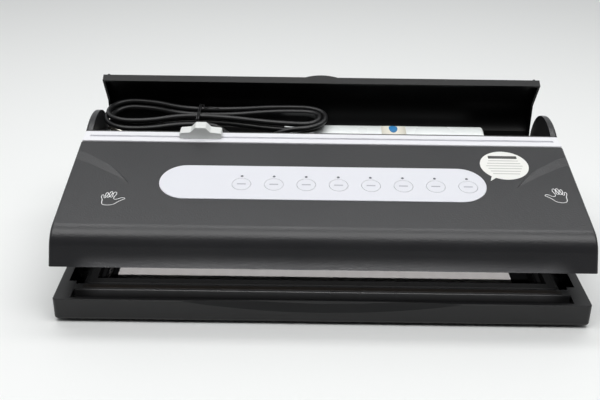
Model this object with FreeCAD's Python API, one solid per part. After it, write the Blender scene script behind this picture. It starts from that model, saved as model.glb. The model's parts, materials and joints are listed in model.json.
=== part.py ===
import FreeCAD, Part
import math
import os

os.makedirs("parts", exist_ok=True)
V = FreeCAD.Vector

# Vacuum sealer, in millimetres. X runs along its width, Y to the rear, Z up.
# The pieces are drawn with the lid shut and the front of the base at Y = 0, then posed as it stands:
# lid ajar, compartment cover open.

# Overall
width = 400.0
depth = 201.0
wall = 2.5
play = 0.3
fit = 0.05
foot_height = 2.0

# Base tray
rim_height = 20.0
rim_front = 3.0
groove_floor = 16.0
corner_radius = 3.0
scoop_width = 216.0
scoop_drop = 9.0
scoop_depth = 3.0

# Lid outline, seen from the side
lid_gap = 0.5
front_lean = 10.5
edge_radius = 18.0
top_start_y = 17.3
top_start_z = 50.1
side_draft = 2.2
side_round = 2.0
crescent_tilt = 8.0
crescent_sink = 1.0
lid_ajar = 7.85

# Lid hinge along the rear bottom edge
heel_radius = 7.0
hinge_z = 24.0
heel_play = 0.6
pin_radius = 2.0
lug_inset = 50.0
lug_width = 10.0
lug_radius = 6.0
washer_thick = 1.0

# Cutter rail and slider
rail_z = 86.3
rail_step = 1.28
rail_gap = 18.0
rail_slope = 12.0
rail_width = 16.9
rail_thick = 3.5
rail_end = 1.2
groove_width = 3.0
groove_depth = 2.2
groove_at = 8.0
groove_end = 5.0
slider_inset = 100.0
slider_length = 34.5
slider_depth = 11.5
slider_front = 4.6
slider_height = 5.8
slider_round = 1.4
ridge_length = 8.4
ridge_height = 9.8

# Roll compartment
bay_depth = 72.8
bay_floor = 50.5
sill_height = 52.5
cheek_thick = 6.0
hump_inset = 43.0
hump_rise = 13.2
hump_rear_radius = 38.5
cover_hinge_inset = 8.6
cover_hinge_z = 58.0
cover_barrel = 4.5
cover_wall = 2.2
cover_open = 50.2
cover_edge_gap = 0.4
cover_edge_rise = 4.0
cover_top_rise = 6.7
cover_play = 1.0
tab_length = 34.0
tab_rise = 2.4
tab_depth = 7.0

# Bag roll
roll_length = 172.0
roll_inset = 60.0
roll_radius = 19.0
roll_core = 6.0

# Control panel, measured on the sloping top
panel_length = 253.4
panel_width = 41.6
panel_s = 47.6
panel_thick = 1.8
panel_proud = 0.6
key_count = 8
key_pitch = 25.03
key_first = -63.0
key_s = 45.0
key_radius = 7.2
key_play = 0.25
key_flange = 1.2
key_travel = 0.5
led_s = 55.0
led_radius = 1.1
switch_size = 6.0
switch_height = 3.4
board_thick = 1.6

# Sealing and vacuum parts
bar_y = 11.0
bar_width = 8.0
bar_inset = 14.0
bar_top = 22.3
strip_thick = 0.3
chamber_y0 = 30.0
chamber_y1 = 84.0
chamber_inset = 32.0
chamber_floor = 6.0
tray_wall = 1.5
gasket_width = 6.0
gasket_top = 22.4
panel_low = 25.0
under_thick = 2.0
motor_radius = 17.0
motor_length = 52.0
motor_inset = 130.0
motor_gap = 36.2
head_half = 16.0
head_rise = 15.0
power_length = 110.0
power_wide = 50.0
power_inset = 60.0
power_gap = 66.2
post_inset = 6.0
intake_inset = 80.0

# Feet, screws and bosses
foot_inset = 28.0
foot_front = 14.0
foot_rear = 13.0
foot_radius = 9.0
screw_radius = 1.6
screw_inset = 24.0
screw_gap = 10.0
screw_rear = 37.0
boss_inset = 15.0
boss_front = 52.0
boss_gap = 20.2
boss_rear = 41.0
lid_switch_inset = 30.0
lid_switch_gap = 22.2
lid_switch_wide = 12.0
lid_switch_long = 20.0
lid_switch_tall = 10.0

# Latch and release buttons
latch_y = 36.0
latch_width = 12.0
latch_inset = 13.0
latch_thick = 3.0
latch_tip = 9.0
button_length = 30.0
button_height = 8.0
button_z = 11.0
button_travel = 2.0
spring_length = 6.5
spring_radius = 1.6
spring_wire = 0.5
spring_turns = 5

# Mains cord
cord = 4.5
cord_gap = 0.7
hank_turns = 3
hank_inset = 95.0
hank_set_back = 3.0
hank_z = 95.4
hank_tilt = 17.0
hank_fall = 0.6
hank_swing = -3.0
hank_left = 83.6
hank_right = 110.0
hank_half_left = 21.0
hank_half_right = 18.0
hank_waist = 10.0
hank_bulge = 1.2
tie_run = 7.0
leave_out = 1.5
leave_turn = 8.0
gland_side = 31.0
gland_drop = 10.3
gland_length = 6.5
gland_radius = 4.6
plug_length = 36.0
plug_wide = 35.3
plug_thick = 13.7
plug_tilt = 20.0
relief_length = 14.0
relief_radius = 3.6
prong_length = 19.0
prong_radius = 2.0
prong_pitch = 18.6
plug_run = 27.0
cord_rest_side = 14.0

# Places that follow from the sizes above
half = width / 2.0
hinge_y = depth - heel_radius
bay_front = depth - bay_depth
rail_y = bay_front - rail_gap
top_slope = math.degrees(math.atan2(rail_z - rail_step - top_start_z, rail_y - top_start_y))
hump_y = depth - hump_inset
hump_z = rail_z + hump_rise
cover_hinge_y = depth - cover_hinge_inset
cover_edge_y = bay_front + cover_edge_gap
cover_edge_z = rail_z + cover_edge_rise
cover_top_y = hump_y - 1.0
cover_top_z = rail_z + cover_top_rise
roll_y = hump_y + 0.5
roll_right = half - roll_inset
roll_left = roll_right - roll_length
lug_x = half - lug_inset
slider_x = -half + slider_inset
bar_length = width - 2.0 * bar_inset
chamber_x = half - chamber_inset
motor_x = half - motor_inset
motor_y = bay_front - motor_gap
latch_x = half - latch_inset
hank_x = -half + hank_inset
hank_y = hump_y + hank_set_back
gland_x = hank_x + gland_side
gland_z = rail_z - gland_drop
plug_y = roll_y
cord_rest_x = hank_x + cord_rest_side
lid_low = rim_height + lid_gap
rear_corner = hinge_z + 3.0 * heel_radius
slope = math.radians(top_slope)
lean = math.radians(front_lean)
tilt = math.radians(rail_slope)
draft = math.tan(math.radians(side_draft))
roll_z = bay_floor + play + roll_radius
bay_half = half - (rail_z - lid_low) * draft - cheek_thick
inner_half = half - wall - draft * (rail_z - lid_low)


def box(x0, x1, y0, y1, z0, z1):
    return Part.makeBox(x1 - x0, y1 - y0, z1 - z0, V(x0, y0, z0))


def rod(start, end, radius):
    run = end - start
    return Part.makeCylinder(radius, run.Length, start, run)


def both_sides(shape):
    """The shape and its mirror image across the middle plane."""
    return [shape, shape.mirror(V(0, 0, 0), V(1, 0, 0))]


def outline_face(points):
    """Face in the YZ plane. A point is (y, z); a pair of points is an arc through the first to the second."""
    edges = []
    here = points[0]
    for step in points[1:] + points[:1]:
        a = V(0, here[0], here[1])
        if isinstance(step[0], tuple):
            middle, end = step
            edges.append(Part.Arc(a, V(0, middle[0], middle[1]), V(0, end[0], end[1])).toShape())
        else:
            end = step
            edges.append(Part.LineSegment(a, V(0, end[0], end[1])).toShape())
        here = end
    return Part.Face(Part.Wire(edges))


def prism(points, x0, x1):
    face = outline_face(points)
    face.translate(V(x0, 0, 0))
    return face.extrude(V(x1 - x0, 0, 0))


def on_top(shape):
    """Carries a piece drawn flat, with Y up the slope and Z outward, onto the lid's sloping top."""
    placed = shape.copy()
    placed.rotate(V(0, 0, 0), V(1, 0, 0), top_slope)
    placed.translate(V(0, top_start_y, top_start_z))
    return placed


def on_rail(shape):
    """Carries a piece drawn flat, with Y from the rail's front edge and Z from its top, onto the rail."""
    placed = shape.copy()
    placed.rotate(V(0, 0, 0), V(1, 0, 0), rail_slope)
    placed.translate(V(0, rail_y, rail_z))
    return placed


def round_plate(length, breadth, z0, z1, radius):
    """Plate centred on the origin with rounded corners."""
    a = length / 2.0 - radius
    b = breadth / 2.0 - radius
    plate = box(-length / 2.0, length / 2.0, -b, b, z0, z1) if b > 0.01 else None
    core = box(-a, a, -breadth / 2.0, breadth / 2.0, z0, z1)
    plate = core if plate is None else plate.fuse(core)
    for x in (-a, a):
        for y in (-b, b):
            plate = plate.fuse(Part.makeCylinder(radius, z1 - z0, V(x, y, z0)))
    return plate.removeSplitter()


def ring(x, y0, y1, z0, z1, thick):
    """Rectangular frame whose inner opening runs to x and from y0 to y1."""
    outer = box(-x - thick, x + thick, y0 - thick, y1 + thick, z0, z1)
    return outer.cut(box(-x, x, y0, y1, z0 - 1, z1 + 1))


def top_line(y):
    return top_start_z + (y - top_start_y) * math.tan(slope)


def lid_front(inset):
    """Front of the lid's outline, moved inward: bottom point, rounded edge, and the top line's start."""
    bottom = (inset / math.cos(lean) + (lid_low - rim_height) * math.tan(lean), lid_low)
    face = (math.sin(lean), math.cos(lean))
    top = (math.cos(slope), math.sin(slope))
    base = (top_start_y + inset * math.sin(slope), top_start_z - inset * math.cos(slope))
    gap = (base[0] - bottom[0], base[1] - bottom[1])
    reach = (gap[0] * top[1] - gap[1] * top[0]) / (face[0] * top[1] - face[1] * top[0])
    corner = (bottom[0] + face[0] * reach, bottom[1] + face[1] * reach)
    radius = edge_radius - inset
    turn = math.pi / 2.0 - lean - slope
    run = radius * math.tan(turn / 2.0)
    start = (corner[0] - face[0] * run, corner[1] - face[1] * run)
    end = (corner[0] + top[0] * run, corner[1] + top[1] * run)
    centre = (start[0] + face[1] * radius, start[1] - face[0] * radius)
    away = math.atan2(corner[1] - centre[1], corner[0] - centre[0])
    middle = (centre[0] + radius * math.cos(away), centre[1] + radius * math.sin(away))
    return bottom, start, (middle, end)


def rail_point(along, out):
    """Point in the side view, measured along the rail from its front edge and out from its top face."""
    return (rail_y + along * math.cos(tilt) - out * math.sin(tilt),
            rail_z + along * math.sin(tilt) + out * math.cos(tilt))


def hump():
    """Rounded outline of the compartment cheeks, from under the rail over the top to the rear wall."""
    rise = rail_point(rail_width + 1.0, -0.4)
    radius = ((hump_y - rise[0]) ** 2 + (hump_z - rise[1]) ** 2) / (2.0 * (hump_z - rise[1]))
    turn = math.asin((hump_y - bay_front + 2.0 * wall) / radius)
    start = (hump_y - radius * math.sin(turn), hump_z - radius * (1.0 - math.cos(turn)))
    front_mid = (hump_y - radius * math.sin(turn / 2.0), hump_z - radius * (1.0 - math.cos(turn / 2.0)))
    centre = hump_z - hump_rear_radius
    fall = centre - rear_corner
    reach = math.hypot(depth - hump_y, fall)
    touch = math.acos(hump_rear_radius / reach) - math.atan2(fall, depth - hump_y)
    halfway = (math.pi / 2.0 + touch) / 2.0
    rear_mid = (hump_y + hump_rear_radius * math.cos(halfway), centre + hump_rear_radius * math.sin(halfway))
    rear_end = (hump_y + hump_rear_radius * math.cos(touch), centre + hump_rear_radius * math.sin(touch))
    return start, (front_mid, (hump_y, hump_z)), (rear_mid, rear_end)


# Base tray: low shell with flat rims, a groove behind the front rim, a chamber recess and hinge lugs
body = box(-half, half, 0, depth, foot_height, rim_height)
upright = [e for e in body.Edges if abs(e.BoundBox.ZLength - (rim_height - foot_height)) < 0.01]
body = body.makeFillet(corner_radius, upright)
low_edges = [e for e in body.Edges if e.BoundBox.ZMax < foot_height + 0.01]
body = body.makeFillet(corner_radius - 0.5, low_edges)
high_edges = [e for e in body.Edges if e.BoundBox.ZMin > rim_height - 0.01]
body = body.makeChamfer(0.6, high_edges)
well_rear = chamber_y1 + 2.0 * gasket_width
body = body.cut(box(-half + wall, half - wall, wall, depth - wall, foot_height - 1, groove_floor - wall))
body = body.cut(box(-half + wall, half - wall, well_rear + wall, depth - wall, foot_height - 1,
                    rim_height - wall))
well_x = bar_length / 2.0 + 1.0
chamber = box(-chamber_x - wall, chamber_x + wall, chamber_y0 - wall, chamber_y1 + wall,
              chamber_floor - wall, rim_height)
body = body.fuse(chamber)
body = body.cut(box(-chamber_x, chamber_x, chamber_y0, chamber_y1, chamber_floor, rim_height + 1))
body = body.cut(box(-well_x, well_x, rim_front, well_rear, groove_floor, rim_height + 1))
chamber_rim = ring(chamber_x, chamber_y0, chamber_y1, chamber_floor, groove_floor + 1.0, wall)
body = body.fuse(chamber_rim)
half_scoop = scoop_width / 2.0
lens = Part.Face(Part.Wire([
    Part.Arc(V(-half_scoop, 0, rim_height), V(0, 0, rim_height - scoop_drop),
             V(half_scoop, 0, rim_height)).toShape(),
    Part.LineSegment(V(half_scoop, 0, rim_height), V(-half_scoop, 0, rim_height)).toShape()]))
scoop = lens.extrude(V(0, scoop_depth, scoop_drop))
scoop_back = box(-half_scoop - 5, half_scoop + 5, rim_front - 0.8, rim_front + 5, groove_floor, rim_height)
body = body.cut(scoop.cut(scoop_back))
heel_seat = rod(V(-half - 1, hinge_y, hinge_z), V(half + 1, hinge_y, hinge_z), heel_radius + heel_play)
body = body.cut(heel_seat)
body = body.cut(box(-half - 1, half + 1, hinge_y, depth + 1, hinge_z - heel_radius - heel_play,
                    rim_height + 1))
seat_floor = hinge_z - heel_radius - heel_play
seat_rib = box(-half + wall, half - wall, hinge_y - 2.0 * heel_radius, depth - wall,
               seat_floor - 2.0 * wall, rim_height - wall)
body = body.fuse(seat_rib.cut(heel_seat))
lug = rod(V(lug_x - lug_width / 2.0, hinge_y, hinge_z), V(lug_x + lug_width / 2.0, hinge_y, hinge_z),
          lug_radius)
lug = lug.fuse(box(lug_x - lug_width / 2.0, lug_x + lug_width / 2.0, hinge_y - lug_radius + 1.0,
                   hinge_y + lug_radius - 1.0, seat_floor - wall, hinge_z))
lug = lug.cut(rod(V(lug_x - lug_width, hinge_y, hinge_z), V(lug_x + lug_width, hinge_y, hinge_z),
                  pin_radius + 0.02))
for piece in both_sides(lug):
    body = body.fuse(piece)
latch_slot = box(latch_x - latch_thick - 1.5, latch_x + 6.0, latch_y - latch_width / 2.0 - 4.0,
                 latch_y + latch_width / 2.0 + 4.0, foot_height + 2.0, rim_height + 1)
button_deep = 4.0
button_window = box(half - wall - button_deep - button_travel - 1.0, half + 1,
                    latch_y - button_length / 2.0 - play,
                    latch_y + button_length / 2.0 + play, button_z - button_height / 2.0 - play,
                    button_z + button_height / 2.0 + play)
for cut in both_sides(latch_slot) + both_sides(button_window):
    body = body.cut(cut)
spring_stop = half - wall - button_deep - spring_length
for y in (latch_y - button_length / 2.0, latch_y + button_length / 2.0):
    inward = 4.5 if y < latch_y else -4.5
    stop = box(spring_stop - wall, spring_stop, min(y, y + inward), max(y, y + inward), 2.0 * foot_height,
               groove_floor)
    for piece in both_sides(stop):
        body = body.fuse(piece)
floor_boss = 5.0
base_screw_spots = [(x, y) for x in (-half + screw_inset, 0.0, half - screw_inset)
                    for y in (well_rear + screw_gap, depth - screw_rear)]
for x, y in base_screw_spots:
    body = body.fuse(Part.makeCylinder(floor_boss, rim_height - wall / 2.0 - 2.0 * foot_height,
                                       V(x, y, 2.0 * foot_height)))
    body = body.cut(Part.makeCylinder(screw_radius + 0.02, 9.0, V(x, y, 0)))
base_shell = body.removeSplitter()

# Bottom plate inside the base walls, its screws and rubber feet
plate_inset = wall + play
bottom_plate = box(-half + plate_inset, half - plate_inset, plate_inset, depth - plate_inset,
                   foot_height, 2.0 * foot_height)
bottom_plate = bottom_plate.cut(box(-chamber_x - 6, chamber_x + 6, chamber_y0 - 6, chamber_y1 + 6, 0,
                                    3.3 + 1.7))
for piece in both_sides(latch_slot):
    grown = piece.BoundBox
    bottom_plate = bottom_plate.cut(box(grown.XMin - 1, grown.XMax + 1, grown.YMin - 1, grown.YMax + 1, 0, 9))
base_screws = []
for x, y in base_screw_spots:
    bottom_plate = bottom_plate.cut(Part.makeCylinder(screw_radius + 0.1, 9.0, V(x, y, 0)))
    head = Part.makeCylinder(3.0, 1.2, V(x, y, foot_height - 1.2))
    base_screws.append(head.fuse(Part.makeCylinder(screw_radius, 8.5 - foot_height, V(x, y, foot_height))))
feet = [Part.makeCone(foot_radius - 1.0, foot_radius, foot_height, V(x, y, 0))
        for x in (-half + foot_inset, half - foot_inset) for y in (foot_front, depth - foot_rear)]

# Drip tray in the chamber, with the plain strip on its floor
tray_out = box(-chamber_x + play, chamber_x - play, chamber_y0 + play, chamber_y1 - play,
               chamber_floor + play, groove_floor + 1.0)
tray_in = box(-chamber_x + play + tray_wall, chamber_x - play - tray_wall, chamber_y0 + play + tray_wall,
              chamber_y1 - play - tray_wall, chamber_floor + play + tray_wall, rim_height + 1)
drip_tray = tray_out.cut(tray_in)
strip_y = 47.0
strip_wide = 22.0
strip_left = -chamber_x + 6.0
strip_right = chamber_x - 16.0
tray_strip = box(strip_left, strip_right, strip_y, strip_y + strip_wide,
                 chamber_floor + play + tray_wall, chamber_floor + play + tray_wall + 0.4)

# Sealing bar with its heating strip, and the gaskets round the chamber
seal_bar = box(-bar_length / 2.0, bar_length / 2.0, bar_y, bar_y + bar_width, groove_floor, bar_top)
bar_front = [e for e in seal_bar.Edges if e.BoundBox.ZMin > bar_top - 0.01 and e.BoundBox.XLength > 1]
seal_bar = seal_bar.makeFillet(0.8, bar_front)
heating_strip = box(-bar_length / 2.0 + 6, bar_length / 2.0 - 6, bar_y + 2.0, bar_y + bar_width - 2.0,
                    bar_top, bar_top + strip_thick)
gasket_in = wall + 0.8
lower_gasket = ring(chamber_x + gasket_in, chamber_y0 - gasket_in, chamber_y1 + gasket_in,
                    groove_floor, gasket_top, gasket_width)
upper_gasket = ring(chamber_x + gasket_in, chamber_y0 - gasket_in, chamber_y1 + gasket_in,
                    gasket_top + play, panel_low, gasket_width)
pressure_strip = box(-bar_length / 2.0 + 4, bar_length / 2.0 - 4, bar_y + 0.8, bar_y + bar_width - 0.8,
                     bar_top + strip_thick + play, panel_low)

# Upper housing: wedge with rounded front edge, sloping top, compartment with humped cheeks, hinge heel
bottom, front_start, front_arc = lid_front(0.0)
wedge_rear = rail_point(rail_width, 0.0)[0] - 0.2
wedge = prism([bottom, front_start, front_arc, (wedge_rear, top_line(wedge_rear)), (wedge_rear, lid_low)],
              -half, half)
heel_side = math.sqrt(heel_radius ** 2 - (hinge_z - lid_low) ** 2)
hump_start, hump_front, hump_back = hump()
rear_block = prism([(hump_start[0], lid_low), hump_start, hump_front, hump_back, (depth, rear_corner),
                    (depth, hinge_z),
                    ((hinge_y, hinge_z - heel_radius), (hinge_y - heel_side, lid_low))], -half, half)
tall = hump_z + 10.0
side_gate = Part.Face(Part.makePolygon([
    V(-half, -5, lid_low), V(half, -5, lid_low), V(half - (tall - lid_low) * draft, -5, tall),
    V(-half + (tall - lid_low) * draft, -5, tall), V(-half, -5, lid_low)])).extrude(V(0, depth + 10, 0))
side_gate = side_gate.fuse(box(-half, half, -5, depth + 5, lid_low - heel_radius, lid_low))
wedge = wedge.common(side_gate)
rear_block = rear_block.common(side_gate)


def side_edges(shape, y_limit):
    """Edges along the two end faces that show from above and in front."""
    found = []
    for edge in shape.Edges:
        middle = edge.CenterOfMass
        spread = edge.BoundBox
        if abs(middle.x) > half - 10 and spread.XLength < 4 and middle.z > lid_low + 2 and middle.y < y_limit:
            found.append(edge)
    return found


wedge = wedge.makeFillet(side_round, side_edges(wedge, wedge_rear - 1.0))
rear_block = rear_block.makeFillet(side_round, [e for e in side_edges(rear_block, depth + 1)
                                                if e.CenterOfMass.y > hump_start[0]
                                                and e.CenterOfMass.z > rear_corner])
housing = wedge.fuse(rear_block)
in_bottom, in_start, in_arc = lid_front(wall)
seat_low = rail_point(0.0, -rail_thick - wall)
seat_back = rail_point(rail_width, -rail_thick - wall)
cavity = prism([(in_bottom[0], lid_low - 1), in_bottom, in_start, in_arc,
                (seat_low[0] - 2.0 * wall, top_line(seat_low[0] - 2.0 * wall) - wall / math.cos(slope)),
                seat_low, (bay_front - wall, seat_back[1] - wall),
                (bay_front - wall, bay_floor + 14.0 - wall),
                (bay_front + 10.5, bay_floor - wall), (depth - wall, bay_floor - wall),
                (depth - wall, hinge_z + heel_radius + wall),
                (hinge_y - heel_radius - 0.5, hinge_z + heel_radius + wall),
                (hinge_y - heel_radius - 0.5, lid_low - 1)], -inner_half, inner_half)
boss_spots = [(x, y) for x in (-half + boss_inset, half - boss_inset)
              for y in (boss_front, bay_front - boss_gap, depth - boss_rear)]
bosses = [Part.makeCylinder(4.0, tall, V(x, y, panel_low + under_thick)).common(cavity)
          for x, y in boss_spots]
housing = housing.cut(cavity)
bay = prism([(bay_front, tall + 20), (bay_front, bay_floor + 14.0), (bay_front + 11.5, bay_floor),
             (depth - 23.0, bay_floor), (depth - 17.0, sill_height), (depth + 9, sill_height),
             (depth + 9, tall + 20)], -bay_half, bay_half)
housing = housing.cut(bay)
rail_seat = on_rail(box(-half - 1, half + 1, -play, rail_width + play, -rail_thick, 30.0))
rail_seat = rail_seat.common(box(-half - 1, half + 1, 0, bay_front, 0, tall))
housing = housing.cut(rail_seat)
for boss in bosses:
    housing = housing.fuse(boss)

# Crescent facets sunk into the rear corners of the top, shallow at the rear edge and deeper at the front one
tip_x = -half + 50.0
outer_run = Part.Arc(V(-half - 2, 90.0, 0), V(-half + 28.0, 71.0, 0), V(tip_x, 45.0, 0)).toShape()
inner_run = Part.Arc(V(tip_x, 45.0, 0), V(-half + 24.0, 64.0, 0), V(-half - 2, 78.0, 0)).toShape()
closing = Part.LineSegment(V(-half - 2, 78.0, 0), V(-half - 2, 90.0, 0)).toShape()
crescent = Part.Face(Part.Wire([outer_run, inner_run, closing]))
crescent.rotate(V(tip_x, 45.0, 0), V(52.0, -39.0, 0), crescent_tilt)
crescent.translate(V(0, 0, -crescent_sink))
crescent = crescent.extrude(V(0, 0, 8.0))
for cut in both_sides(on_top(crescent)):
    housing = housing.cut(cut)

# Openings in the housing for the panel, keys, light pipes, gland, hinge lugs and cover pins
key_spots = [key_first + key_pitch * k for k in range(key_count)]
panel_recess = round_plate(panel_length + 2 * fit, panel_width + 2 * fit, panel_proud - panel_thick, 8.0,
                           panel_width / 2.0 + fit)
panel_recess.translate(V(0, panel_s, 0))
housing = housing.cut(on_top(panel_recess))
for x in key_spots:
    housing = housing.cut(on_top(Part.makeCylinder(key_radius + key_play, 20.0, V(x, key_s, -8.0))))
    housing = housing.cut(on_top(Part.makeCylinder(led_radius + 0.1, 20.0, V(x, led_s, -8.0))))
gland_hole = rod(V(gland_x, bay_front - 2 * wall, gland_z), V(gland_x, bay_front + 1, gland_z),
                 gland_radius - 1.2)
housing = housing.cut(gland_hole)
slot_reach = lug_radius + 3.0
lug_slot = box(lug_x - lug_width / 2.0 - washer_thick - 0.2, lug_x + lug_width / 2.0 + washer_thick + 0.2,
               hinge_y - slot_reach - 2.0, depth + 1, lid_low - heel_radius - 1, hinge_z + slot_reach)
pin_reach = lug_width / 2.0 + 14.0
pin_hole = rod(V(lug_x - pin_reach - 0.3, hinge_y, hinge_z), V(lug_x + pin_reach + 0.3, hinge_y, hinge_z),
               pin_radius + fit)
for cut in both_sides(lug_slot) + both_sides(pin_hole):
    housing = housing.cut(cut)
cover_pin_end = bay_half + cheek_thick - 1.5
cover_pin_hole = rod(V(bay_half - 1, cover_hinge_y, cover_hinge_z),
                     V(cover_pin_end, cover_hinge_y, cover_hinge_z), pin_radius + fit)
for cut in both_sides(cover_pin_hole):
    housing = housing.cut(cut)
upper_housing = housing.removeSplitter()

# Lid hinge pins and friction washers at the two lugs
hinge_pin = rod(V(lug_x - pin_reach, hinge_y, hinge_z), V(lug_x + pin_reach, hinge_y, hinge_z), pin_radius)
hinge_pins = both_sides(hinge_pin)
washers = []
for x in (lug_x - lug_width / 2.0 - washer_thick - 0.1, lug_x + lug_width / 2.0 + 0.1):
    disc = rod(V(x, hinge_y, hinge_z), V(x + washer_thick, hinge_y, hinge_z), lug_radius - 0.5)
    hole = rod(V(x - 1, hinge_y, hinge_z), V(x + 2 * washer_thick, hinge_y, hinge_z), pin_radius + fit)
    washers += both_sides(disc.cut(hole))

# Underside panel of the housing, its screws, the latch hooks and the lid switch
under_gap = wall + 0.2
under_front = lid_front(under_gap)[0][0] + (panel_low + under_thick - lid_low) * math.tan(lean)
underside = box(-inner_half + 0.2, inner_half - 0.2, under_front, hinge_y - heel_radius - 1.5,
                panel_low, panel_low + under_thick)
housing_screws = []
for x, y in boss_spots:
    underside = underside.cut(Part.makeCylinder(screw_radius + 0.1, 9.0, V(x, y, panel_low - 2)))
    head = Part.makeCylinder(3.0, 1.4, V(x, y, panel_low - 1.4))
    housing_screws.append(head.fuse(Part.makeCylinder(screw_radius, 9.0, V(x, y, panel_low))))
    upper_housing = upper_housing.cut(Part.makeCylinder(screw_radius + 0.02, 12.0, V(x, y, panel_low)))
intake_y = (chamber_y0 + chamber_y1) / 2.0
intake_x = half - intake_inset
intake_radius = 4.0
hose_bore = 2.0
underside = underside.cut(Part.makeCylinder(intake_radius + 0.02, 9.0, V(intake_x, intake_y, panel_low - 2)))
hook_plate = box(latch_x - latch_thick, latch_x, latch_y - latch_width / 2.0, latch_y + latch_width / 2.0,
                 latch_tip, panel_low)
hook_nose = prism([(latch_y - latch_width / 2.0, latch_tip), (latch_y - latch_width / 2.0, latch_tip + 3.0),
                   (latch_y + latch_width / 2.0, latch_tip + 3.0), (latch_y + latch_width / 2.0, latch_tip)],
                  latch_x, latch_x + 1.6)
latch_hooks = both_sides(hook_plate.fuse(hook_nose))
switch_x = -half + lid_switch_inset
switch_y = bay_front - lid_switch_gap
lid_switch = box(switch_x - lid_switch_wide / 2.0, switch_x + lid_switch_wide / 2.0,
                 switch_y - lid_switch_long / 2.0,
                 switch_y + lid_switch_long / 2.0, panel_low + under_thick,
                 panel_low + under_thick + lid_switch_tall)
lid_switch = lid_switch.fuse(Part.makeCylinder(1.5, under_thick + 2.0,
                                               V(switch_x, switch_y, panel_low - 2.0)))
underside = underside.cut(Part.makeCylinder(1.7, 9.0, V(switch_x, switch_y, panel_low - 4.0)))

# Control panel, keys, light pipes and the board under them
panel = round_plate(panel_length, panel_width, panel_proud - panel_thick, panel_proud, panel_width / 2.0)
panel.translate(V(0, panel_s, 0))
rim_edges = [e for e in panel.Edges if e.BoundBox.ZMin > panel_proud - 0.01]
panel = panel.makeFillet(0.45, rim_edges)
keys = []
pipes = []
switches = []
inner_top = -wall
flange_top = inner_top - key_play
switch_top = flange_top - key_flange - 2.4
board_top = switch_top - switch_height
for x in key_spots:
    panel = panel.cut(Part.makeCylinder(key_radius + key_play, 9.0, V(x, key_s, -5.0)))
    panel = panel.cut(Part.makeCylinder(led_radius + 0.1, 9.0, V(x, led_s, -5.0)))
    cap = Part.makeCylinder(key_radius, panel_proud + 0.1 - flange_top + 0.5, V(x, key_s, flange_top - 0.5))
    rim = [e for e in cap.Edges if e.BoundBox.ZMin > panel_proud]
    cap = cap.makeFillet(0.3, rim)
    cap = cap.fuse(Part.makeCylinder(key_radius + 1.2, key_flange, V(x, key_s, flange_top - key_flange)))
    stem_low = switch_top + key_travel + 0.1
    cap = cap.fuse(Part.makeCylinder(2.0, flange_top - stem_low, V(x, key_s, stem_low)))
    keys.append(on_top(cap.removeSplitter()))
    pipe = Part.makeCylinder(led_radius, panel_proud - board_top, V(x, led_s, board_top))
    pipes.append(on_top(pipe))
    body = box(x - switch_size / 2.0, x + switch_size / 2.0, key_s - switch_size / 2.0,
               key_s + switch_size / 2.0,
               board_top, switch_top - 0.8)
    switches.append(on_top(body.fuse(Part.makeCylinder(1.75, 0.8, V(x, key_s, switch_top - 0.8)))))
control_panel = on_top(panel)
board_margin = 12.0
board = box(key_spots[0] - board_margin, key_spots[-1] + board_margin, panel_s - 16.0, panel_s + 18.0,
            board_top - board_thick, board_top)
control_board = on_top(board)
for x in (key_spots[0] - board_margin + 3.5, key_spots[-1] + board_margin - 3.5):
    for s in (panel_s - 12.5, panel_s + 14.5):
        post = on_top(Part.makeCylinder(2.5, -board_top - wall / 2.0, V(x, s, board_top)))
        upper_housing = upper_housing.fuse(post)

# Vacuum pump, valve and hose, and the power board on the underside panel
floor_z = panel_low + under_thick
motor_z = floor_z + motor_radius + 2.0
pump_motor = rod(V(motor_x, motor_y, motor_z), V(motor_x + motor_length, motor_y, motor_z), motor_radius)
pump_motor = pump_motor.fuse(box(motor_x + 6, motor_x + motor_length - 6, motor_y - 12.0, motor_y + 12.0,
                                 floor_z, motor_z - motor_radius / 2.0))
pump_motor = pump_motor.fuse(rod(V(motor_x - 6, motor_y, motor_z), V(motor_x, motor_y, motor_z), 5.0))
head_length = 34.0
pump_head = box(motor_x - 6 - head_length, motor_x - 6, motor_y - head_half, motor_y + head_half,
                floor_z, motor_z + head_rise)
head_edges = [e for e in pump_head.Edges if e.BoundBox.XLength > 1 and e.BoundBox.ZMin > floor_z + 1]
pump_head = pump_head.makeFillet(4.0, head_edges)
valve_x = motor_x + motor_length + 22.0
valve_z = floor_z + 16.0
release_valve = box(valve_x, valve_x + 22.0, motor_y - 9.0, motor_y + 9.0, floor_z, valve_z)
intake_nozzle = Part.makeCylinder(intake_radius, 14.0, V(intake_x, intake_y, panel_low))
intake_nozzle = intake_nozzle.cut(Part.makeCylinder(hose_bore, 20.0, V(intake_x, intake_y, panel_low - 3)))
hose_radius = 3.5
hose_bend = 10.0
hose_top = panel_low + 14.0
hose_x = motor_x - 6 - head_length / 2.0
hose_y = intake_y
head_face = motor_y - head_half
hose_line = Part.Wire([
    Part.LineSegment(V(hose_x, head_face, hose_top + hose_bend),
                     V(hose_x, hose_y + hose_bend, hose_top + hose_bend)).toShape(),
    Part.Arc(V(hose_x, hose_y + hose_bend, hose_top + hose_bend),
             V(hose_x + hose_bend * (1 - math.cos(math.pi / 4)),
               hose_y + hose_bend * (1 - math.sin(math.pi / 4)),
               hose_top + hose_bend),
             V(hose_x + hose_bend, hose_y, hose_top + hose_bend)).toShape(),
    Part.LineSegment(V(hose_x + hose_bend, hose_y, hose_top + hose_bend),
                     V(intake_x - hose_bend, hose_y, hose_top + hose_bend)).toShape(),
    Part.Arc(V(intake_x - hose_bend, hose_y, hose_top + hose_bend),
             V(intake_x - hose_bend * (1 - math.sin(math.pi / 4)), hose_y,
               hose_top + hose_bend * math.cos(math.pi / 4)),
             V(intake_x, hose_y, hose_top)).toShape()])
first = hose_line.Vertexes[0].Point
air_hose = Part.Wire([Part.Circle(first, V(0, 1, 0), hose_radius).toShape()])
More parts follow.
